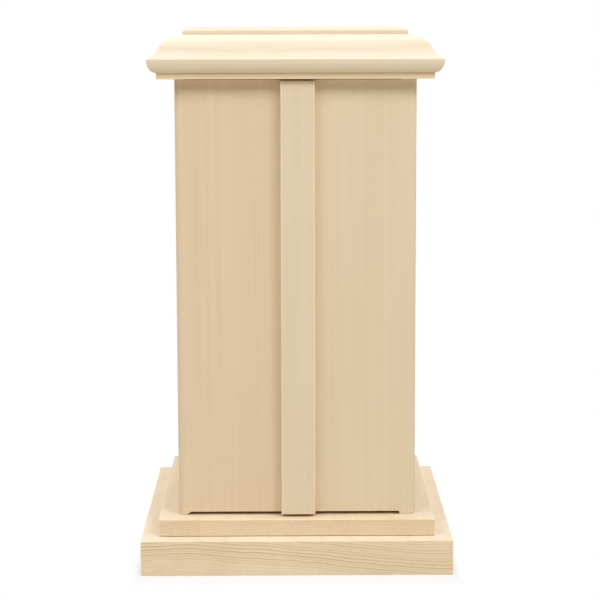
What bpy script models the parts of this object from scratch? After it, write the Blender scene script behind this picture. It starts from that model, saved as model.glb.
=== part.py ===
"""Small shrine cabinet (zushi) in plain unfinished cypress, with two pivot-hung doors.

The body is a box of two walls and a back panel. It stands on a stepped base of two boards and
carries a ceiling board and a cap. The cap is a frame of four mitred moulding lengths (quarter
round below, ogee above) with a flat top board let into it. Each door is one board with a half
round hanging edge. It turns on two wooden pins, in the upper base board and the ceiling board.
A lath on the right door covers the joint between the doors, so the right door opens first.

Metres, +Z up, the front looks along -Y. The origin is the centre of the underside.
"""
import math

import bmesh
import bpy
from mathutils import Matrix, Vector

# Fits between neighbours
SEAT_GAP = 0.0003        # between two pieces that are glued or rest on each other
DOOR_PLAY = 0.0005       # from the walls' front edges to the doors' backs

# Base boards, square in plan
LOWER_BOARD_SIDE = 0.180
LOWER_BOARD_THICK = 0.0204
UPPER_BOARD_SIDE = 0.160
UPPER_BOARD_THICK = 0.0097
BASE_ARRIS = 0.0005      # how far the boards' sharp edges are eased

# Body, measured over the doors' fronts and the walls' outer faces
BODY_SIDE = 0.138
BODY_HEIGHT = 0.254      # clear height from the upper base board to the ceiling board
WALL_THICK = 0.009
BACK_THICK = 0.006
BACK_LIP = 0.004         # wall left outside the back panel's rebate

# Doors
DOOR_THICK = 0.007
LEAF_LIFT = 0.0018             # from the base board up to the leaf's relieved foot
LEAF_DROP = 0.0008             # from the ceiling board down to its relieved head
LEFT_STILE_WIDTH = 0.0072      # full-length part at the hanging edge, where the relief starts
LEFT_STILE_END_WIDTH = 0.0048  # its width at its very ends, past the relief's sloping cut
RIGHT_STILE_WIDTH = 0.0092     # the same on the right door, whose relief ends almost square
RIGHT_STILE_END_WIDTH = 0.0089
MEETING_GAP = 0.0008           # between the two doors
HANGING_EDGE_STEPS = 14        # flats round the half round hanging edge

# Lath over the meeting joint
STRIP_WIDTH = 0.0197
STRIP_THICK = 0.0057
STRIP_OFFSET = 0.0010    # how far its middle lies to the right of the cabinet's middle
STRIP_DROP = 0.0010
STRIP_LIFT = 0.0015
STRIP_ARRIS = 0.0007

# Pivot pins
PIN_RADIUS = 0.0015
PIN_IN_DOOR = 0.010
PIN_IN_BASE = 0.0050
PIN_IN_CEILING = 0.0028
PIN_SIDES = 24

# Ceiling board, square in plan
CEILING_SIDE = 0.157
CEILING_THICK = 0.0043
CEILING_ARRIS = 0.0003

# Cap moulding: its outer edge is the arris between the quarter round and the ogee
CAP_SIDE = 0.1672
ROUND_HEIGHT = 0.0067
ROUND_RUN = 0.0055
ROUND_STEPS = 10
COVE_RADIUS = 0.0120      # hollow foot of the ogee
SHOULDER_RADIUS = 0.0098  # its round shoulder
CROWN_RADIUS = 0.0382     # its gently crowned upper slope
COVE_START = 20           # slopes along the ogee, in degrees from level
OGEE_STEEPEST = 65
CROWN_START = 24
CROWN_END = 12
OGEE_STEP_ANGLE = 5       # largest turn between two flats of the ogee, in degrees
CROWN_STEP_ANGLE = 3
FRAME_WIDTH = 0.025       # width of the moulding, out to its arris
REBATE_DEPTH = 0.006      # the top board's seat, below the moulding's highest edge

# Top board
TOP_RISE = 0.0028        # how far it stands over the moulding
TOP_ARRIS = 0.0003

# Heights of the stacked pieces
UPPER_BOARD_FOOT = LOWER_BOARD_THICK + SEAT_GAP
BODY_FLOOR = UPPER_BOARD_FOOT + UPPER_BOARD_THICK
BODY_CEILING = BODY_FLOOR + BODY_HEIGHT
CAP_FOOT = BODY_CEILING + CEILING_THICK + SEAT_GAP

# Pivot axes: the middle of the doors' half round edges
PIVOT_X = (BODY_SIDE - DOOR_THICK) / 2
PIVOT_Y = -(BODY_SIDE - DOOR_THICK) / 2
DOOR_FRONT = -BODY_SIDE / 2

LEFT, RIGHT = -1, 1
STILES = {LEFT: (LEFT_STILE_WIDTH, LEFT_STILE_END_WIDTH),
          RIGHT: (RIGHT_STILE_WIDTH, RIGHT_STILE_END_WIDTH)}


def clear_scene():
    for item in list(bpy.data.objects):
        bpy.data.objects.remove(item, do_unlink=True)


def wood(name, red, green, blue):
    """Bare planed wood; the colour is given in sRGB, from 0 to 255."""
    material = bpy.data.materials.new(name)
    material.use_nodes = True
    shader = material.node_tree.nodes["Principled BSDF"]
    linear = [((c / 255 + 0.055) / 1.055) ** 2.4 for c in (red, green, blue)]
    shader.inputs["Base Color"].default_value = (*linear, 1)
    shader.inputs["Roughness"].default_value = 0.6
    shader.inputs["Metallic"].default_value = 0
    material.diffuse_color = (*linear, 1)
    return material


def add_object(name, mesh_maker, material, parent=None):
    """Turn a bmesh into a named object. Its mesh is in world metres, moved to the parent's."""
    bmesh.ops.recalc_face_normals(mesh_maker, faces=mesh_maker.faces)
    if parent:
        bmesh.ops.translate(mesh_maker, verts=mesh_maker.verts, vec=-parent.location)
    mesh = bpy.data.meshes.new(name)
    mesh_maker.to_mesh(mesh)
    mesh_maker.free()
    mesh.materials.append(material)
    item = bpy.data.objects.new(name, mesh)
    bpy.context.collection.objects.link(item)
    item.parent = parent
    return item


def block(low, high):
    """A bmesh box between two corners."""
    solid = bmesh.new()
    size = Vector(high) - Vector(low)
    middle = (Vector(high) + Vector(low)) / 2
    placed = Matrix.LocRotScale(middle, None, size)
    bmesh.ops.create_cube(solid, size=1, matrix=placed)
    return solid


def ease_edges(solid, edges, width):
    bmesh.ops.bevel(solid, geom=edges, offset=width, offset_type="OFFSET", segments=2,
                    profile=0.5, affect="EDGES", material=-1, clamp_overlap=True)


def square_board(side, foot, thick):
    half = side / 2
    return block((-half, -half, foot), (half, half, foot + thick))


def extrude_outline(outline, rise):
    """Close an outline of points with a face and sweep it along a vector."""
    solid = bmesh.new()
    base = solid.faces.new([solid.verts.new(point) for point in outline])
    swept = bmesh.ops.extrude_face_region(solid, geom=[base])
    tops = [element for element in swept["geom"] if isinstance(element, bmesh.types.BMVert)]
    bmesh.ops.translate(solid, verts=tops, vec=rise)
    return solid


def arc(centre_u, centre_v, radius_u, radius_v, start, end, steps):
    """Points round an ellipse arc in the profile's own plane; angles in degrees."""
    angles = [math.radians(start + (end - start) * step / steps) for step in range(steps + 1)]
    return [(centre_u + radius_u * math.cos(a), centre_v + radius_v * math.sin(a)) for a in angles]


def cut_away(item, cutter):
    """Cut one object by another, which stays as a hidden guide."""
    cutter.hide_render = True
    cutter.display_type = "WIRE"
    difference = item.modifiers.new(cutter.name, "BOOLEAN")
    difference.operation = "DIFFERENCE"
    difference.object = cutter


def round_bar(radius, foot, top, x, y):
    """A bmesh cylinder standing between two heights."""
    bar = bmesh.new()
    placed = Matrix.Translation((x, y, (foot + top) / 2))
    bmesh.ops.create_cone(bar, cap_ends=True, segments=PIN_SIDES, radius1=radius, radius2=radius,
                          depth=top - foot, matrix=placed)
    return bar


# Base


def add_base(material):
    lower = square_board(LOWER_BOARD_SIDE, 0, LOWER_BOARD_THICK)
    ease_edges(lower, lower.edges, BASE_ARRIS)
    add_object("lower_base_board", lower, material)

    upper = square_board(UPPER_BOARD_SIDE, UPPER_BOARD_FOOT, UPPER_BOARD_THICK)
    ease_edges(upper, upper.edges, BASE_ARRIS)
    board = add_object("upper_base_board", upper, material)
    add_pin_holes(board, BODY_FLOOR - PIN_IN_BASE - SEAT_GAP, BODY_FLOOR + SEAT_GAP, material)


def add_pin_holes(board, foot, top, material):
    """Drill a board where the two doors' pins turn in it."""
    for side, name in ((LEFT, "left"), (RIGHT, "right")):
        hole = round_bar(PIN_RADIUS + SEAT_GAP, foot, top, side * PIVOT_X, PIVOT_Y)
        cut_away(board, add_object(f"{board.name}_{name}_hole", hole, material))


# Body


def add_walls(material):
    """The walls, rebated at the back for the panel; their front edges stop behind the doors."""
    outer = BODY_SIDE / 2
    inner = outer - WALL_THICK
    lip = outer - BACK_LIP
    front = DOOR_FRONT + DOOR_THICK + DOOR_PLAY
    rebate = outer - BACK_THICK - SEAT_GAP
    foot = BODY_FLOOR + SEAT_GAP
    rise = Vector((0, 0, BODY_HEIGHT - 2 * SEAT_GAP))
    plan = [(outer, front), (outer, outer), (lip, outer),
            (lip, rebate), (inner, rebate), (inner, front)]
    for side, name in ((LEFT, "left_wall"), (RIGHT, "right_wall")):
        outline = [(side * x, y, foot) for x, y in plan]
        add_object(name, extrude_outline(outline, rise), material)


def add_back_panel(material):
    half = BODY_SIDE / 2 - BACK_LIP - SEAT_GAP
    back = BODY_SIDE / 2
    panel = block((-half, back - BACK_THICK, BODY_FLOOR + SEAT_GAP),
                  (half, back, BODY_CEILING - SEAT_GAP))
    add_object("back_panel", panel, material)


def add_ceiling_board(material):
    board = square_board(CEILING_SIDE, BODY_CEILING, CEILING_THICK)
    ease_edges(board, board.edges, CEILING_ARRIS)
    item = add_object("ceiling_board", board, material)
    add_pin_holes(item, BODY_CEILING - SEAT_GAP, BODY_CEILING + PIN_IN_CEILING + SEAT_GAP, material)


# Cap


def ogee_points():
    """The ogee as (run in, rise) from the arris: three arcs, each taking over the last one's slope."""
    stretches = [
        (COVE_RADIUS, COVE_START, OGEE_STEEPEST, OGEE_STEP_ANGLE),
        (SHOULDER_RADIUS, OGEE_STEEPEST, CROWN_START, OGEE_STEP_ANGLE),
        (CROWN_RADIUS, CROWN_START, CROWN_END, CROWN_STEP_ANGLE),
    ]
    run, rise = 0.0, 0.0
    points = [(run, rise)]
    for radius, start, end, step_angle in stretches:
        steps = max(1, math.ceil(abs(end - start) / step_angle))
        turn = math.radians(end - start) / steps
        chord = 2 * radius * math.sin(abs(turn) / 2)
        for step in range(steps):
            slope = math.radians(start) + (step + 0.5) * turn
            run += chord * math.cos(slope)
            rise += chord * math.sin(slope)
            points.append((run, rise))
    return points


def crest():
    """Where the ogee ends: its distance out from the middle, and its height."""
    run, rise = ogee_points()[-1]
    return CAP_SIDE / 2 - run, CAP_FOOT + ROUND_HEIGHT + rise


def moulding_profile():
    """The closed section of the cap moulding as (distance out from the middle, height)."""
    outer = CAP_SIDE / 2
    inner = outer - FRAME_WIDTH
    arris = CAP_FOOT + ROUND_HEIGHT
    quarter_round = arc(outer - ROUND_RUN, arris, ROUND_RUN, ROUND_HEIGHT, -90, 0, ROUND_STEPS)
    ogee = [(outer - run, arris + rise) for run, rise in ogee_points()[1:]]
    seat_edge, top = crest()
    seat = top - REBATE_DEPTH
    return [(inner, CAP_FOOT)] + quarter_round + ogee + [(seat_edge, seat), (inner, seat)]


def add_cap_mouldings(material):
    """Four lengths with mitred ends: the front one, turned about the middle for the others."""
    profile = moulding_profile()
    mitre_play = SEAT_GAP / math.sqrt(2)
    for quarter_turns, name in enumerate(("front", "right", "back", "left")):
        length = bmesh.new()
        for side in (LEFT, RIGHT):
            length.faces.new([length.verts.new((side * (out - mitre_play), -out, height))
                              for out, height in profile])
        bmesh.ops.bridge_loops(length, edges=length.edges)
        turn = Matrix.Rotation(quarter_turns * math.pi / 2, 3, "Z")
        bmesh.ops.rotate(length, verts=length.verts, cent=(0, 0, 0), matrix=turn)
        add_object(f"cap_moulding_{name}", length, material)


def add_top_board(material):
    """A flat board let into the mouldings' rebate, standing a little over them."""
    seat_edge, top = crest()
    half = seat_edge - SEAT_GAP
    board = block((-half, -half, top - REBATE_DEPTH + SEAT_GAP), (half, half, top + TOP_RISE))
    ease_edges(board, board.edges, TOP_ARRIS)
    add_object("top_board", board, material)


# Doors


def add_hinge_line(name, side):
    """The line that a door turns about, as an empty that carries its pieces."""
    hinge = bpy.data.objects.new(name, None)
    hinge.location = (side * PIVOT_X, PIVOT_Y, BODY_FLOOR)
    bpy.context.collection.objects.link(hinge)
    return hinge


def add_leaf(name, side, hinge, material):
    """One board with a half round hanging edge, full height there and shorter over the rest."""
    radius = DOOR_THICK / 2
    hanging_edge = arc(PIVOT_X, PIVOT_Y, radius, radius, -90, 90, HANGING_EDGE_STEPS)
    meeting_edge = MEETING_GAP / 2
    plan = hanging_edge + [(meeting_edge, PIVOT_Y + radius), (meeting_edge, PIVOT_Y - radius)]
    foot = BODY_FLOOR + SEAT_GAP
    head = BODY_CEILING - SEAT_GAP
    outline = [(side * x, y, foot) for x, y in plan]
    leaf = add_object(name, extrude_outline(outline, Vector((0, 0, head - foot))), material, hinge)
    add_relief(leaf, "foot", side, foot, BODY_FLOOR + LEAF_LIFT, hinge)
    add_relief(leaf, "head", side, head, BODY_CEILING - LEAF_DROP, hinge)
    return leaf


def add_relief(leaf, place, side, end, cut, hinge):
    """Shorten the leaf from its end to the cut, out to the stile, where the cut slopes off."""
    spare = DOOR_THICK  # how far the cutter stands past the leaf's faces
    beyond = end + math.copysign(spare, end - cut)
    stile, stile_end = (BODY_SIDE / 2 - width for width in STILES[side])
    plan = [(-spare, beyond), (stile_end, beyond), (stile_end, end), (stile, cut), (-spare, cut)]
    outline = [(side * x, DOOR_FRONT - spare, z) for x, z in plan]
    cutter = extrude_outline(outline, Vector((0, DOOR_THICK + 2 * spare, 0)))
    cut_away(leaf, add_object(f"{leaf.name}_{place}_relief", cutter, leaf.data.materials[0], hinge))


def add_pins(name, side, leaf, hinge, material):
    """Two dowels glued into the leaf's hanging edge, which turn in the boards below and above."""
    x = side * PIVOT_X
    foot = BODY_FLOOR + SEAT_GAP
    head = BODY_CEILING - SEAT_GAP
    bores = {
        "lower": (BODY_FLOOR - PIN_IN_BASE, foot + PIN_IN_DOOR),
        "upper": (head - PIN_IN_DOOR, BODY_CEILING + PIN_IN_CEILING),
    }
    for place, (low, high) in bores.items():
        pin = round_bar(PIN_RADIUS, low, high, x, PIVOT_Y)
        add_object(f"{name}_{place}_pin", pin, material, hinge)
        bore = round_bar(PIN_RADIUS + SEAT_GAP, low - SEAT_GAP, high + SEAT_GAP, x, PIVOT_Y)
        cut_away(leaf, add_object(f"{name}_{place}_bore", bore, material, hinge))


def add_strip(hinge, material):
    """The lath, fixed on the right door's face and reaching over the left door's edge."""
    low = (STRIP_OFFSET - STRIP_WIDTH / 2, DOOR_FRONT - SEAT_GAP - STRIP_THICK, BODY_FLOOR + STRIP_LIFT)
    high = (STRIP_OFFSET + STRIP_WIDTH / 2, DOOR_FRONT - SEAT_GAP, BODY_CEILING - STRIP_DROP)
    lath = block(low, high)
    front = [edge for edge in lath.edges
             if all(abs(vert.co.y - low[1]) < SEAT_GAP for vert in edge.verts)]
    ease_edges(lath, front, STRIP_ARRIS)
    add_object("meeting_strip", lath, material, hinge)


def add_doors(door_wood, pin_wood):
    for side, name in ((LEFT, "left_door"), (RIGHT, "right_door")):
        hinge = add_hinge_line(f"{name}_hinge", side)
        leaf = add_leaf(name, side, hinge, door_wood)
        add_pins(name, side, leaf, hinge, pin_wood)
        if side == RIGHT:
            add_strip(hinge, door_wood)


def smooth_round_faces():
    """Shade the mouldings and round edges smooth, and keep every arris crisp."""
    crisp = math.radians(30)
    for item in bpy.data.objects:
        if item.type == "MESH":
            item.data.shade_smooth()
            item.data.set_sharp_from_angle(angle=crisp)


def build():
    clear_scene()
    base_wood = wood("base_board_wood", 221, 196, 158)
    body_wood = wood("body_wood", 224, 202, 168)
    cap_wood = wood("cap_wood", 232, 212, 180)
    door_wood = wood("door_wood", 223, 200, 168)
    pin_wood = wood("pin_wood", 196, 160, 112)

    add_base(base_wood)
    add_walls(body_wood)
    add_back_panel(body_wood)
    add_ceiling_board(body_wood)
    add_cap_mouldings(cap_wood)
    add_top_board(cap_wood)
    add_doors(door_wood, pin_wood)
    smooth_round_faces()


build()
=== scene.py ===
import math

import bmesh
import bpy
from mathutils import Matrix, Vector


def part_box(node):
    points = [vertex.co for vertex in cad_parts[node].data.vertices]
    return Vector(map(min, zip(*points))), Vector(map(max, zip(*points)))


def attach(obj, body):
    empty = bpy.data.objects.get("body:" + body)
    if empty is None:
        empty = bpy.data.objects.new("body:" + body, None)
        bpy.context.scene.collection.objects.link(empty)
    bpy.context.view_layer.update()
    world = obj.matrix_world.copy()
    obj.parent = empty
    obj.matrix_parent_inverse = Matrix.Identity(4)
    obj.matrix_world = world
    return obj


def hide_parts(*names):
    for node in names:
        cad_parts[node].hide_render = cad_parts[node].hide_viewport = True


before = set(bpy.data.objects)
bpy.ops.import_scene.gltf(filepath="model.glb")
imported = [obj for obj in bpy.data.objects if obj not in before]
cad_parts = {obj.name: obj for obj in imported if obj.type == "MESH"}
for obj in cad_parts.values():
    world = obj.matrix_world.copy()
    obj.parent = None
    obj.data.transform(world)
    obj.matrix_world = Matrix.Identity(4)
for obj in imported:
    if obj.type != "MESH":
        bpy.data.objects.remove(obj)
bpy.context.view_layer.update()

# Lower base board: one wide plank of flat-sawn cypress, planed and left bare. Its fibres run from
# front to back, so that its front is end grain, where the growth lines show best.
LOWER_ARRIS = 0.0004
LOWER_WOOD = {"early": (250, 232, 204), "late": (215, 188, 148)}
PAINTED_ARRIS_HIGHLIGHT = (0.12, 0.07, 0.03)  # painted highlight: how much brighter arrises are made, in red, green and blue
RELIEF_DEPTH = 0.00005
SMOOTH_WITHIN = 40  # faces that meet at fewer degrees than this are shaded as one smooth surface


def linear(colour):
    """A colour written in sRGB, 0 to 255, as the linear values that a shader takes."""
    return tuple(((c / 255 + 0.055) / 1.055) ** 2.4 for c in colour) + (1.0,)


def add_node(tree, kind, inputs=None, **settings):
    """Place a shader node. Each of its inputs is given as a value or as another node's output."""
    node = tree.nodes.new("ShaderNode" + kind)
    for setting, value in settings.items():
        setattr(node, setting, value)
    for key, value in (inputs or {}).items():
        if isinstance(value, bpy.types.NodeSocket):
            tree.links.new(value, node.inputs[key])
        else:
            node.inputs[key].default_value = value
    return node


def wood_figure_group():
    """Growth rings round the heart of a log, fine fibres along it, and darker, duller end grain.

    Place is in metres, with X along the fibres and the heart at zero of Y and Z. Sweep is how far
    the heart sinks, towards -Z, along the piece's length, and Fold how far the rings step down
    across it, towards -Y. Dullness is the roughness of plain side grain.
    """
    group = bpy.data.node_groups.new("wood_figure", "ShaderNodeTree")
    for way, kind, names in (
            ("INPUT", "NodeSocketVector", ["Place"]),
            ("INPUT", "NodeSocketColor", ["Early Wood", "Late Wood"]),
            ("INPUT", "NodeSocketFloat", ["End Facing", "Arris", "Ring Width", "Ring Contrast",
                                          "Waviness", "Sweep", "Fold", "Fibre Contrast",
                                          "Dullness", "Seed"]),
            ("OUTPUT", "NodeSocketColor", ["Colour"]),
            ("OUTPUT", "NodeSocketFloat", ["Roughness", "Relief"])):
        for name in names:
            group.interface.new_socket(name=name, in_out=way, socket_type=kind)
    given = group.nodes.new("NodeGroupInput").outputs
    result = group.nodes.new("NodeGroupOutput").inputs

    def calc(operation, a, b=0.0):
        return add_node(group, "Math", {0: a, 1: b}, operation=operation).outputs[0]

    def plus(a, b):
        return calc("ADD", a, b)

    def times(a, b):
        return calc("MULTIPLY", a, b)

    def vector_calc(operation, a, b=(0.0, 0.0, 0.0)):
        node = add_node(group, "VectorMath", {0: a, 1: b}, operation=operation)
        return node.outputs["Value" if operation == "LENGTH" else "Vector"]

    def from_parts(**parts):
        return add_node(group, "CombineXYZ", parts).outputs[0]

    def noise(place, scale, detail, dimensions="3D"):
        """Smooth noise about zero, from about -0.5 to 0.5."""
        where = "W" if dimensions == "1D" else "Vector"
        node = add_node(group, "TexNoise", {where: place, "Scale": scale, "Detail": detail},
                        noise_dimensions=dimensions)
        return calc("SUBTRACT", node.outputs[0], 0.5)

    def streaks(length, width, detail=1.0):
        """Noise drawn out along the fibres, so many metres long and so many wide."""
        return noise(vector_calc("MULTIPLY", seeded, (1 / length, 1 / width, 1 / width)), 1.0, detail)

    def ramp(value, low, high, from_value=0.0, to_value=1.0):
        """A smooth step, from one value at low to the other at high."""
        return add_node(group, "MapRange", {
            "Value": value, "From Min": low, "From Max": high, "To Min": from_value,
            "To Max": to_value}, interpolation_type="SMOOTHSTEP").outputs[0]

    # Where the surface lies in the log: its distance from the heart, with bends and fine ripples.
    seeded = vector_calc("ADD", given["Place"], from_parts(X=given["Seed"], Y=given["Seed"]))
    lengthwise = add_node(group, "SeparateXYZ", {0: given["Place"]}).outputs
    sweep = times(ramp(lengthwise["X"], low=-0.075, high=0.085), given["Sweep"])
    fold = times(ramp(lengthwise["Y"], low=-0.085, high=0.075, from_value=1.0, to_value=0.0),
                 given["Fold"])
    from_heart = vector_calc("ADD", vector_calc("MULTIPLY", given["Place"], (0.0, 1.0, 1.0)),
                             from_parts(Z=plus(sweep, fold)))
    ripple_share = 0.22
    bend = times(streaks(length=0.12, width=0.055), given["Waviness"])
    ripple = times(streaks(length=0.035, width=0.014), times(given["Waviness"], ripple_share))
    radius = plus(vector_calc("LENGTH", from_heart), plus(bend, ripple))

    # The growth rings. Their widths vary over about three years. The late wood of each year darkens
    # slowly and stops sharply, more strongly in some years and in some runs of about eleven years.
    year_scale, run_scale, unevenness = 0.33, 0.09, 1.1
    years = calc("DIVIDE", radius, given["Ring Width"])
    age = plus(years, times(noise(years, year_scale, 1.0, "1D"), unevenness))
    season = calc("FRACT", age)
    late_rise, late_stop = 2.6, 0.88
    late = times(calc("POWER", season, late_rise),
                 ramp(season, low=late_stop, high=1.0, from_value=1.0, to_value=0.0))
    weakest, spread = 0.55, 0.8
    year = add_node(group, "TexWhiteNoise", {"W": calc("FLOOR", age)}, noise_dimensions="1D")
    runs = ramp(noise(years, run_scale, 1.0, "1D"), low=-0.22, high=0.22,
                from_value=0.25, to_value=1.5)
    strength = times(plus(times(year.outputs["Value"], spread), weakest), runs)

    # End grain shows the rings more plainly, and is darker and duller.
    end_contrast, end_darkness, end_dullness = 2.3, 0.20, 0.14
    end = ramp(given["End Facing"], low=0.45, high=0.85)
    contrast = times(given["Ring Contrast"], plus(times(end, end_contrast), 1.0))
    rings = times(times(late, strength), contrast)

    # The grain along the fibres, fine and broad, and slow clouds of darker and paler wood.
    fibre_share, streak_share, cloud_share = 0.55, 1.1, 0.30
    fibre = streaks(length=0.05, width=0.0004, detail=3.0)
    streak = streaks(length=0.40, width=0.0032, detail=2.0)
    cloud = streaks(length=0.15, width=0.030)
    grain = plus(times(fibre, fibre_share), times(streak, streak_share))

    # The colour, between early and late wood. Arrises get a painted highlight, paler and brighter; the
    # plane leaves them smoother.
    plain_share, arris_highlight_share, arris_polish, grain_dullness = 0.15, 0.10, 0.10, 0.12
    figure = plus(plus(rings, times(grain, given["Fibre Contrast"])),
                  plus(times(cloud, cloud_share), times(end, end_darkness)))
    # painted highlight: the arris mask pushes the colour towards the paler early wood
    figure_with_highlight = calc("SUBTRACT", plus(figure, plain_share), times(given["Arris"], arris_highlight_share))
    arris_highlight = from_parts(**{axis: plus(times(given["Arris"], share), 1.0)
                         for axis, share in zip("XYZ", PAINTED_ARRIS_HIGHLIGHT)})
    wood = add_node(group, "Mix", {"Factor": figure_with_highlight, 6: given["Early Wood"], 7: given["Late Wood"]},
                    data_type="RGBA").outputs[2]
    group.links.new(vector_calc("MULTIPLY", wood, arris_highlight), result["Colour"])

    dullness = plus(plus(times(grain, grain_dullness), times(end, end_dullness)), given["Dullness"])
    group.links.new(calc("SUBTRACT", dullness, times(given["Arris"], arris_polish)),
                    result["Roughness"])
    ring_relief, grain_relief = 0.7, 0.5
    group.links.new(plus(times(rings, ring_relief), times(grain, grain_relief)), result["Relief"])
    return group


WOOD_FIGURE = wood_figure_group()


def bare_wood(name, fibres, heart, early, late, ring_width, ring_contrast, waviness,
              fibre_contrast, seed, lean=(0, 0, 0), sweep=0.0, fold=0.0, dullness=0.52, shine=0.5):
    """Planed, unfinished wood. Its fibres run along an axis, and the heart of its log lies off to
    the side: along X, heart is its (Y, Z); along Y, its (-X, Z); and along Z, its (Y, -X). Lean
    turns the log, in degrees, and shine is how strong the wood's gloss is."""
    material = bpy.data.materials.new(name)
    material.use_nodes = True
    tree = material.node_tree
    shader = tree.nodes["Principled BSDF"]
    shader.inputs["Specular IOR Level"].default_value = shine
    coordinates = add_node(tree, "TexCoord").outputs
    to_x_axis = {"X": (0, 0, 0), "Y": (0, 0, -math.pi / 2), "Z": (0, math.pi / 2, 0)}
    along_x = add_node(tree, "Mapping", {
        "Vector": coordinates["Object"], "Rotation": to_x_axis[fibres]})
    about_heart = add_node(tree, "Mapping", {
        "Vector": along_x.outputs["Vector"], "Location": (0, -heart[0], -heart[1]),
        "Rotation": [math.radians(angle) for angle in lean]})
    fibre_axis = {"X": (1, 0, 0), "Y": (0, 1, 0), "Z": (0, 0, 1)}
    facing = add_node(tree, "VectorMath", {0: coordinates["Normal"], 1: fibre_axis[fibres]},
                      operation="DOT_PRODUCT")
    either_end = add_node(tree, "Math", {0: facing.outputs["Value"]}, operation="ABSOLUTE")
    arris = add_node(tree, "Attribute", attribute_name="arris")
    figure = add_node(tree, "Group", {
        "Place": about_heart.outputs["Vector"], "End Facing": either_end.outputs[0],
        "Arris": arris.outputs["Fac"], "Early Wood": linear(early), "Late Wood": linear(late),
        "Ring Width": ring_width, "Ring Contrast": ring_contrast, "Waviness": waviness,
        "Sweep": sweep, "Fold": fold, "Fibre Contrast": fibre_contrast, "Dullness": dullness,
        "Seed": seed}, node_tree=WOOD_FIGURE).outputs
    relief = add_node(tree, "Bump", {
        "Strength": 0.5, "Distance": RELIEF_DEPTH, "Height": figure["Relief"]})
    tree.links.new(figure["Colour"], shader.inputs["Base Color"])
    tree.links.new(figure["Roughness"], shader.inputs["Roughness"])
    tree.links.new(relief.outputs["Normal"], shader.inputs["Normal"])
    return material


def box_between(low, high):
    """A bmesh box between two corners."""
    low, high = Vector(low), Vector(high)
    shape = bmesh.new()
    place = Matrix.LocRotScale((low + high) / 2, None, high - low)
    bmesh.ops.create_cube(shape, size=1.0, matrix=place)
    return shape


def sharp_edges(shape, least=50):
    """The edges whose two faces meet at more than so many degrees."""
    return [edge for edge in shape.edges
            if len(edge.link_faces) == 2 and edge.calc_face_angle() > math.radians(least)]


def ease(shape, edges, width, segments=3):
    """Break sharp edges with a plane: a small round along each, marked for a painted highlight and a
    smoother finish.
    """
    highlight_and_polish_layer = shape.faces.layers.float.get("arris") or shape.faces.layers.float.new("arris")
    bevelled = bmesh.ops.bevel(shape, geom=list(edges), offset=width, offset_type="OFFSET",
                               segments=segments, profile=0.5, affect="EDGES", material=-1)
    for face in bevelled["faces"]:
        face[highlight_and_polish_layer] = 1.0


def set_in_place(shape, name, material, body, node):
    """Finish a bmesh as a piece that rides on a body and stands for one of the model's nodes."""
    bmesh.ops.recalc_face_normals(shape, faces=shape.faces)
    mesh = bpy.data.meshes.new(name)
    shape.to_mesh(mesh)
    shape.free()
    mesh.materials.append(material)
    mesh.shade_smooth()
    mesh.set_sharp_from_angle(angle=math.radians(SMOOTH_WITHIN))
    piece = bpy.data.objects.new(name, mesh)
    bpy.context.scene.collection.objects.link(piece)
    flat_faces = piece.modifiers.new("flat_faces_stay_flat", "WEIGHTED_NORMAL")
    flat_faces.keep_sharp = True
    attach(piece, body)
    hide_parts(node)


lower_board = box_between(*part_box("lower_base_board"))
ease(lower_board, sharp_edges(lower_board), LOWER_ARRIS)
lower_cypress = bare_wood(
    "lower_board_cypress", "Y", heart=(0, -2.5), ring_width=0.0017, ring_contrast=0.29,
    waviness=0.006, sweep=0.002, fold=0.012, fibre_contrast=0.30, seed=0.31, **LOWER_WOOD)
set_in_place(lower_board, "planed_lower_board", lower_cypress, "cabinet",
             "lower_base_board")

# Upper base board: a thinner plank laid on the first one, with its fibres the same way and a plainer
# end grain. Two small holes in its top are the bearings of the doors' lower pins.
UPPER_ARRIS = 0.0004
UPPER_WOOD = {"early": (246, 228, 198), "late": (202, 172, 124)}
HOLE_PLAY = 0.0003


def drill(shape, pins):
    """Cut a round hole in a bmesh for each of these pins, wider than its node by the play."""
    board = bpy.data.objects.new("board", bpy.data.meshes.new("board"))
    shape.to_mesh(board.data)
    shape.free()
    bpy.context.scene.collection.objects.link(board)
    play = Vector([HOLE_PLAY] * 3)
    bits = []
    for pin in pins:
        low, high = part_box(pin)
        low, high = low - play, high + play
        radius = (high.x - low.x) / 2
        cylinder = bmesh.new()
        bmesh.ops.create_cone(cylinder, cap_ends=True, segments=32, radius1=radius, radius2=radius,
                              depth=high.z - low.z, matrix=Matrix.Translation((low + high) / 2))
        bit = bpy.data.objects.new("drill_bit", bpy.data.meshes.new("drill_bit"))
        cylinder.to_mesh(bit.data)
        cylinder.free()
        bpy.context.scene.collection.objects.link(bit)
        bits.append(bit)
        hole = board.modifiers.new("hole", "BOOLEAN")
        hole.operation = "DIFFERENCE"
        hole.object = bit
    drilled = board.evaluated_get(bpy.context.evaluated_depsgraph_get())
    result = bmesh.new()
    result.from_mesh(drilled.to_mesh())
    for item in [board] + bits:
        bpy.data.objects.remove(item)
    return result


upper_board = box_between(*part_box("upper_base_board"))
ease(upper_board, sharp_edges(upper_board), UPPER_ARRIS)
upper_board = drill(upper_board, ["left_door_lower_pin", "right_door_lower_pin"])
upper_cypress = bare_wood(
    "upper_board_cypress", "Y", heart=(-0.020, -0.65), ring_width=0.0016, ring_contrast=0.07,
    waviness=0.004, fibre_contrast=0.25, seed=1.7, **UPPER_WOOD)
set_in_place(upper_board, "planed_upper_board", upper_cypress, "cabinet",
             "upper_base_board")

# Walls and back panel: upright boards between the base and the ceiling board. The back panel is let
# into rebates in the walls, and all three are as plain inside as outside. The doors shut against them.
WALL_ARRIS = 0.0004
PANEL_ARRIS = 0.0002
SEAT = 0.0003  # the play that the model leaves where two pieces meet
INSIDE_WOOD = {"early": (232, 210, 176), "late": (204, 172, 128)}


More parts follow.
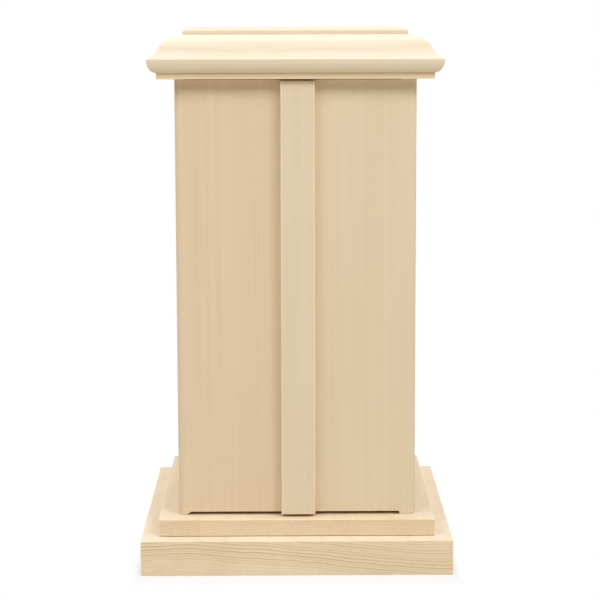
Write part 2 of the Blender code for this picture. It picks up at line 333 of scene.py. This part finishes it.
def swept(outline, along):
    """Close an outline of points with a face, and push it along a vector."""
    shape = bmesh.new()
    end = shape.faces.new([shape.verts.new(point) for point in outline])
    pushed = bmesh.ops.extrude_face_region(shape, geom=[end])
    bmesh.ops.translate(shape, vec=along, verts=[
        item for item in pushed["geom"] if isinstance(item, bmesh.types.BMVert)])
    bmesh.ops.recalc_face_normals(shape, faces=shape.faces)
    return shape


panel_low, panel_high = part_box("back_panel")
for side, name, heart, seed in (
        (-1, "left", (0.260, 0.150), 2.3),
        (1, "right", (0.240, -0.170), 3.9)):
    low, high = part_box(name + "_wall")
    outer, inner = (low.x, high.x) if side < 0 else (high.x, low.x)
    lip = side * (panel_high.x + SEAT)
    rebate = panel_low.y - SEAT
    wall = swept([(outer, low.y, low.z), (outer, high.y, low.z), (lip, high.y, low.z),
                  (lip, rebate, low.z), (inner, rebate, low.z), (inner, low.y, low.z)],
                 (0, 0, high.z - low.z))
    ease(wall, sharp_edges(wall), WALL_ARRIS, segments=2)
    wall_cypress = bare_wood(
        name + "_wall_cypress", "Z", heart=heart, ring_width=0.0016, ring_contrast=0.40,
        waviness=0.0020, fibre_contrast=0.40, seed=seed, **INSIDE_WOOD)
    set_in_place(wall, name + "_wall_board", wall_cypress, "cabinet", name + "_wall")

panel = box_between(panel_low, panel_high)
ease(panel, sharp_edges(panel), PANEL_ARRIS, segments=2)
panel_cypress = bare_wood(
    "back_panel_cypress", "Z", heart=(0.145, 0.020), lean=(0.8, 0, 0.6), ring_width=0.0019,
    ring_contrast=0.60, waviness=0.006, sweep=0.004, fibre_contrast=0.35, seed=5.2, **INSIDE_WOOD)
set_in_place(panel, "back_panel_board", panel_cypress, "cabinet", "back_panel")

# Ceiling board: the thin square board that closes the body. It shows as a narrow step under the cap,
# and its underside, over the doors, holds the bearings of their upper pins.
CEILING_ARRIS = 0.0003
CEILING_WOOD = {"early": (241, 220, 188), "late": (212, 182, 140)}

ceiling = box_between(*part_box("ceiling_board"))
ease(ceiling, sharp_edges(ceiling), CEILING_ARRIS, segments=2)
ceiling = drill(ceiling, ["left_door_upper_pin", "right_door_upper_pin"])
ceiling_cypress = bare_wood(
    "ceiling_board_cypress", "X", heart=(0.150, 0.060), ring_width=0.0016, ring_contrast=0.40,
    waviness=0.003, fibre_contrast=0.30, seed=6.1, **CEILING_WOOD)
set_in_place(ceiling, "planed_ceiling_board", ceiling_cypress, "cabinet", "ceiling_board")

# Cap mouldings: one section, planed on a long stick of pale sapwood and cut into four lengths with
# mitred ends. From below: a quarter round that just laps over the ceiling board's edge, a sharp arris,
# and an ogee that runs up to the top board.
CAP_WOOD = {"early": (240, 225, 202), "late": (224, 202, 169)}
CAP_SHINE = 0.25
ROUND_RUN = 0.0050
ROUND_HEIGHT = 0.0077
LAP = 0.0010  # how far the quarter round reaches down over the ceiling board's edge
OGEE_ARCS = ((0.0120, 20, 65), (0.0098, 65, 24), (0.0382, 24, 12))  # radius, and slopes in degrees
OGEE_STEP = 2.5  # degrees of a curve to one face
MOULDING_WIDTH = 0.025
SEAT_DEPTH = 0.006  # of the seat for the top board, below the top of the ogee
SAW_WASTE = 0.001
MITRE_PLAY = 0.00005


def sweep_on(shape, pen, radius, start, end):
    """Carry an outline in the Y-Z plane on from its last point, by an arc between two slopes."""
    slope, turn = math.radians(start), math.radians(end - start)
    centre = pen.co + Vector((0, -math.sin(slope), math.cos(slope))) * math.copysign(radius, turn)
    spun = bmesh.ops.spin(shape, geom=[pen], cent=centre, axis=(1, 0, 0), angle=turn,
                          steps=math.ceil(abs(end - start) / OGEE_STEP))
    return [item for item in spun["geom_last"] if isinstance(item, bmesh.types.BMVert)][0]


def moulding_outline(low, high):
    """The section of the cap moulding, as a bmesh of edges at the left end of the front length."""
    shape = bmesh.new()
    left, front = low.x - SAW_WASTE, low.y
    round_centre = Vector((left, front + ROUND_RUN, low.z + ROUND_HEIGHT - LAP))
    foot = shape.verts.new(round_centre - Vector((0, 0, ROUND_HEIGHT)))
    pen = sweep_on(shape, foot, ROUND_HEIGHT, 180, 90)
    bmesh.ops.scale(shape, vec=(1, ROUND_RUN / ROUND_HEIGHT, 1), verts=shape.verts,
                    space=Matrix.Translation(-round_centre))
    for radius, start, end in OGEE_ARCS:
        pen = sweep_on(shape, pen, radius, start, end)
    seat = pen.co.z - SEAT_DEPTH
    inner = front + MOULDING_WIDTH
    for place in ((left, pen.co.y, seat), (left, inner, seat), (left, inner, low.z),
                  (left, foot.co.y, low.z)):
        corner = shape.verts.new(place)
        shape.edges.new((pen, corner))
        pen = corner
    shape.edges.new((pen, foot))
    return shape


def mitre(length, side):
    """Saw one end off at 45 degrees, and close the cut."""
    sawn = bmesh.ops.bisect_plane(
        length, geom=length.verts[:] + length.edges[:] + length.faces[:], clear_outer=True,
        plane_co=(-side * MITRE_PLAY, 0, 0), plane_no=(side, 1, 0))
    bmesh.ops.contextual_create(length, geom=[
        item for item in sawn["geom_cut"] if isinstance(item, bmesh.types.BMEdge)])


front_low, front_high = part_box("cap_moulding_front")
for quarter, (name, fibres, heart, seed) in enumerate((
        ("front", "X", (0.030, 0.180), 7.3),
        ("right", "Y", (-0.160, 0.190), 8.8),
        ("back", "X", (-0.050, 0.170), 9.4),
        ("left", "Y", (0.150, 0.200), 10.6))):
    stick = moulding_outline(front_low, front_high)
    end = bmesh.ops.contextual_create(stick, geom=stick.edges[:])["faces"]
    pushed = bmesh.ops.extrude_face_region(stick, geom=end)
    bmesh.ops.translate(stick, vec=(front_high.x - front_low.x + 2 * SAW_WASTE, 0, 0), verts=[
        item for item in pushed["geom"] if isinstance(item, bmesh.types.BMVert)])
    for side in (-1, 1):
        mitre(stick, side)
    bmesh.ops.rotate(stick, cent=(0, 0, 0), matrix=Matrix.Rotation(quarter * math.pi / 2, 3, "Z"),
                     verts=stick.verts)
    cap_cypress = bare_wood(
        "cap_" + name + "_cypress", fibres, heart=heart, ring_width=0.0022, ring_contrast=0.24,
        waviness=0.004, sweep=0.001, fibre_contrast=0.30, shine=CAP_SHINE, seed=seed, **CAP_WOOD)
    set_in_place(stick, "ogee_moulding_" + name, cap_cypress, "cabinet",
                 "cap_moulding_" + name)

# Top board: a flat board let into the mouldings' rebate. It stands a little over them, as a flat
# raised square in the middle of the cap. Its broad face is duller than the rest of the wood.
TOP_ARRIS = 0.0007
TOP_WOOD = {"early": (241, 225, 200), "late": (215, 191, 155)}

top_board = box_between(*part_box("top_board"))
ease(top_board, sharp_edges(top_board), TOP_ARRIS)
top_cypress = bare_wood(
    "top_board_cypress", "X", heart=(0.015, 0.250), lean=(0, 1.2, 0), ring_width=0.0016,
    ring_contrast=0.50, waviness=0.006, fibre_contrast=0.35, dullness=0.70, shine=0.20, seed=11.5,
    **TOP_WOOD)
set_in_place(top_board, "let_in_top_board", top_cypress, "cabinet", "top_board")

# Doors: two quarter-sawn boards with fine upright grain. The hanging edge of each is a half round as
# thick as the board, full height, and the rest is cut back at head and foot so that it clears.
DOOR_ARRIS = 0.0002
LEAF_LIFT = 0.0019
LEAF_DROP = 0.0006
FOOT_PLAY = 0.0001
HAIR = 0.00001  # keeps the two rounds of a hanging edge from meeting, and finds edges in a plane
DOOR_WOOD = {
    "left_door": {"early": (233, 211, 180), "late": (208, 177, 138)},
    "right_door": {"early": (233, 215, 185), "late": (210, 184, 146)},
}

for side, name, stile, stile_end, heart, seed in (
        # side, door, how far in the cut-back is whole and how far in it starts, heart, seed
        (-1, "left_door", 0.0072, 0.0048, (0.030, 0.190), 12.4),
        (1, "right_door", 0.0092, 0.0089, (-0.025, -0.210), 14.2)):
    low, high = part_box(name)
    thickness = high.y - low.y
    outer, meeting = (low.x, high.x) if side < 0 else (high.x, low.x)
    floor, ceiling_height = low.z - SEAT, high.z + SEAT
    foot = floor + FOOT_PLAY
    leaf = swept([
        (meeting, low.y, floor + LEAF_LIFT), (outer - side * stile, low.y, floor + LEAF_LIFT),
        (outer - side * stile_end, low.y, foot), (outer, low.y, foot), (outer, low.y, high.z),
        (outer - side * stile_end, low.y, high.z),
        (outer - side * stile, low.y, ceiling_height - LEAF_DROP),
        (meeting, low.y, ceiling_height - LEAF_DROP)], (0, thickness, 0))
    hanging = [edge for edge in leaf.edges
               if all(abs(vert.co.x - outer) < HAIR for vert in edge.verts)
               and abs(edge.verts[0].co.z - edge.verts[1].co.z) > thickness]
    bmesh.ops.bevel(leaf, geom=hanging, offset=thickness / 2 - HAIR, offset_type="OFFSET",
                    segments=12, profile=0.5, affect="EDGES", material=-1)
    ease(leaf, sharp_edges(leaf), DOOR_ARRIS, segments=2)
    leaf = drill(leaf, [name + "_lower_pin", name + "_upper_pin"])
    door_cypress = bare_wood(
        name + "_cypress", "Z", heart=heart, lean=(0, 0.3, 0), ring_width=0.0013,
        ring_contrast=0.20, waviness=0.0016, fibre_contrast=0.29, seed=seed, **DOOR_WOOD[name])
    set_in_place(leaf, name + "_leaf", door_cypress, name.replace("door", "leaf"), name)

# Pivot pins: short dowels of a darker, harder wood, glued into the ends of each door's hanging edge.
# They are out of sight, in the board below and the board above. Their shape is the model's own.
PIN_WOOD = {"early": (206, 172, 124), "late": (160, 118, 74)}

dowel_wood = bare_wood("dowel_wood", "Z", heart=(0.004, 0.020), ring_width=0.0009,
                       ring_contrast=0.6, waviness=0.001, fibre_contrast=0.6, seed=16.0, **PIN_WOOD)
for name in ("left_door_lower_pin", "left_door_upper_pin",
             "right_door_lower_pin", "right_door_upper_pin"):
    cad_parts[name].data.materials.clear()
    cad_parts[name].data.materials.append(dowel_wood)

# Meeting strip: a planed lath fixed to the right door's face. It reaches over the joint between the
# doors, so the right door opens first. Its front arrises are broken, and catch the light.
STRIP_ARRIS = 0.0009
STRIP_BACK_ARRIS = 0.0001
STRIP_WOOD = {"early": (234, 217, 189), "late": (210, 186, 150)}

lath = box_between(*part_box("meeting_strip"))
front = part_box("meeting_strip")[0].y
front_edges = [edge for edge in lath.edges if all(vert.co.y < front + HAIR for vert in edge.verts)]
# the arris mask gives these front rounds a painted highlight, paler and brighter
ease(lath, front_edges, STRIP_ARRIS)
ease(lath, sharp_edges(lath), STRIP_BACK_ARRIS, segments=1)
strip_cypress = bare_wood(
    "meeting_lath_cypress", "Z", heart=(0.060, 0.160), lean=(0, 0.4, 0.3), ring_width=0.0016,
    ring_contrast=0.18, waviness=0.0018, fibre_contrast=0.25, seed=18.3, **STRIP_WOOD)
set_in_place(lath, "meeting_lath", strip_cypress, "right_leaf", "meeting_strip")

# The photographer's table: a white sheet that keeps the cabinet's soft shadow close by, and is lost
# in the white background further off.
WHITE = (1, 1, 1, 1)
SHEET_SIZE = 12.0
SHEET_SEEN_BY_LIGHT = (0.74, 0.68, 0.56, 1)
SHEET_IN_SHADOW = (0.46, 0.45, 0.44, 1)
SHEET_GLOW = 0.46
SHADOW_EDGE = 0.090   # from the middle, where the shadow starts to fade
SHADOW_AT_SIDES = 0.006
SHADOW_IN_FRONT = 0.024


def seen_or_mirrored(tree):
    """1 where a thing is seen, straight on, in a gloss or through glass, and 0 where it only gives
    light to other things."""
    paths = add_node(tree, "LightPath").outputs
    seen = paths["Is Camera Ray"]
    for path in ("Is Glossy Ray", "Is Transmission Ray"):
        seen = add_node(tree, "Math", {0: seen, 1: paths[path]}, operation="MAXIMUM").outputs[0]
    return seen


sheet = bpy.data.meshes.new("white_table")
flat = bmesh.new()
bmesh.ops.create_grid(flat, x_segments=1, y_segments=1, size=SHEET_SIZE / 2)
flat.to_mesh(sheet)
flat.free()
table = bpy.data.objects.new("white_table", sheet)
bpy.context.scene.collection.objects.link(table)

paper = bpy.data.materials.new("white_paper")
paper.use_nodes = True
tree = paper.node_tree
tree.nodes.remove(tree.nodes["Principled BSDF"])
grey = add_node(tree, "BsdfDiffuse", {"Color": SHEET_IN_SHADOW})
faint_glow = add_node(tree, "Emission", {"Strength": SHEET_GLOW})
near = add_node(tree, "AddShader", {0: grey.outputs[0], 1: faint_glow.outputs[0]})
far = add_node(tree, "Emission", {"Color": WHITE})
place = add_node(tree, "TexCoord").outputs["Object"]
both_ways = add_node(tree, "VectorMath", {0: place}, operation="ABSOLUTE")
beyond = add_node(tree, "VectorMath", {
    0: both_ways.outputs["Vector"], 1: (SHADOW_EDGE, SHADOW_EDGE, 0)}, operation="SUBTRACT")
share = add_node(tree, "VectorMath", {
    0: beyond.outputs["Vector"], 1: (SHADOW_AT_SIDES, SHADOW_IN_FRONT, 1)}, operation="DIVIDE")
across = add_node(tree, "SeparateXYZ", {0: share.outputs["Vector"]}).outputs
distance = add_node(tree, "Math", {0: across["X"], 1: across["Y"]}, operation="MAXIMUM")
fade = add_node(tree, "MapRange", {"Value": distance.outputs[0]}, interpolation_type="SMOOTHSTEP")
seen = add_node(tree, "MixShader", {0: fade.outputs[0], 1: near.outputs[0], 2: far.outputs[0]})
matt = add_node(tree, "BsdfDiffuse", {"Color": SHEET_SEEN_BY_LIGHT})
whole = add_node(tree, "MixShader", {
    0: seen_or_mirrored(tree), 1: matt.outputs[0], 2: seen.outputs[0]})
tree.links.new(whole.outputs[0], tree.nodes["Material Output"].inputs["Surface"])
sheet.materials.append(paper)

# The studio: soft lamps at the front, to the right and the left, throw the cap's shadow on the doors
# and the lath's beside it. High ones at the sides and behind light the tops; the room is white.
LAMPS = (
    # name, bearing from the front to the right, height in degrees, distance, size, watts
    ("front_lamp", 0, 42, 2.5, 0.8, 4.9),
    ("right_lamp", 35, 40, 2.5, 1.25, 24.0),
    ("left_lamp", -35, 40, 2.5, 1.25, 17.6),
    ("low_right_lamp", 60, 30, 2.5, 1.55, 4.9),
    ("high_right_lamp", 85, 50, 1.6, 1.0, 5.6),
    ("high_left_lamp", -85, 50, 1.6, 1.0, 9.0),
    ("back_lamp", 180, 60, 1.5, 1.0, 6.2),
)
LAMP_COLOUR = (0.985, 1.0, 1.025)
AIM = Vector((0, 0, 0.15))  # the middle of the cabinet, which every lamp faces
ROOM_COLOUR = (1.0, 0.95, 0.87, 1)
ROOM_LIGHT = 0.02

for name, bearing, height, away, size, watts in LAMPS:
    lamp = bpy.data.lights.new(name, "AREA")
    lamp.shape = "DISK"
    lamp.size = size
    lamp.energy = watts
    lamp.color = LAMP_COLOUR
    turn, rise = math.radians(bearing), math.radians(height)
    towards = Vector((math.sin(turn) * math.cos(rise), -math.cos(turn) * math.cos(rise),
                      math.sin(rise)))
    holder = bpy.data.objects.new(name, lamp)
    holder.location = AIM + towards * away
    holder.rotation_euler = towards.to_track_quat("Z", "Y").to_euler()
    bpy.context.scene.collection.objects.link(holder)

room = bpy.data.worlds.new("white_room")
room.use_nodes = True
tree = room.node_tree
walls = tree.nodes["Background"]
walls.inputs["Color"].default_value = ROOM_COLOUR
walls.inputs["Strength"].default_value = ROOM_LIGHT
white = add_node(tree, "Background", {"Color": WHITE})
either = add_node(tree, "MixShader", {
    0: seen_or_mirrored(tree), 1: walls.outputs[0], 2: white.outputs[0]})
tree.links.new(either.outputs[0], tree.nodes["World Output"].inputs["Surface"])
bpy.context.scene.world = room

# The photograph's viewpoint: square to the front, from a little above the cap, through a long lens.
# The lens is shifted a little, so that the cabinet stands where it does in the photograph.
VIEWPOINT = (-0.0048, -1.1601, 0.3254)
LOOKING_DOWN, TURNED_LEFT, TIPPED = 7.86, -0.37, -0.15  # in degrees

lens = bpy.data.cameras.new("viewpoint")
lens.sensor_width = 36
lens.lens = 115.0
lens.shift_y = -0.05
camera = bpy.data.objects.new("viewpoint", lens)
camera.matrix_world = (Matrix.Translation(VIEWPOINT)
                       @ Matrix.Rotation(math.radians(TURNED_LEFT), 4, "Z")
                       @ Matrix.Rotation(math.radians(90 - LOOKING_DOWN), 4, "X")
                       @ Matrix.Rotation(math.radians(TIPPED), 4, "Z"))
bpy.context.scene.collection.objects.link(camera)
bpy.context.scene.camera = camera
bpy.context.scene.view_settings.view_transform = "Standard"
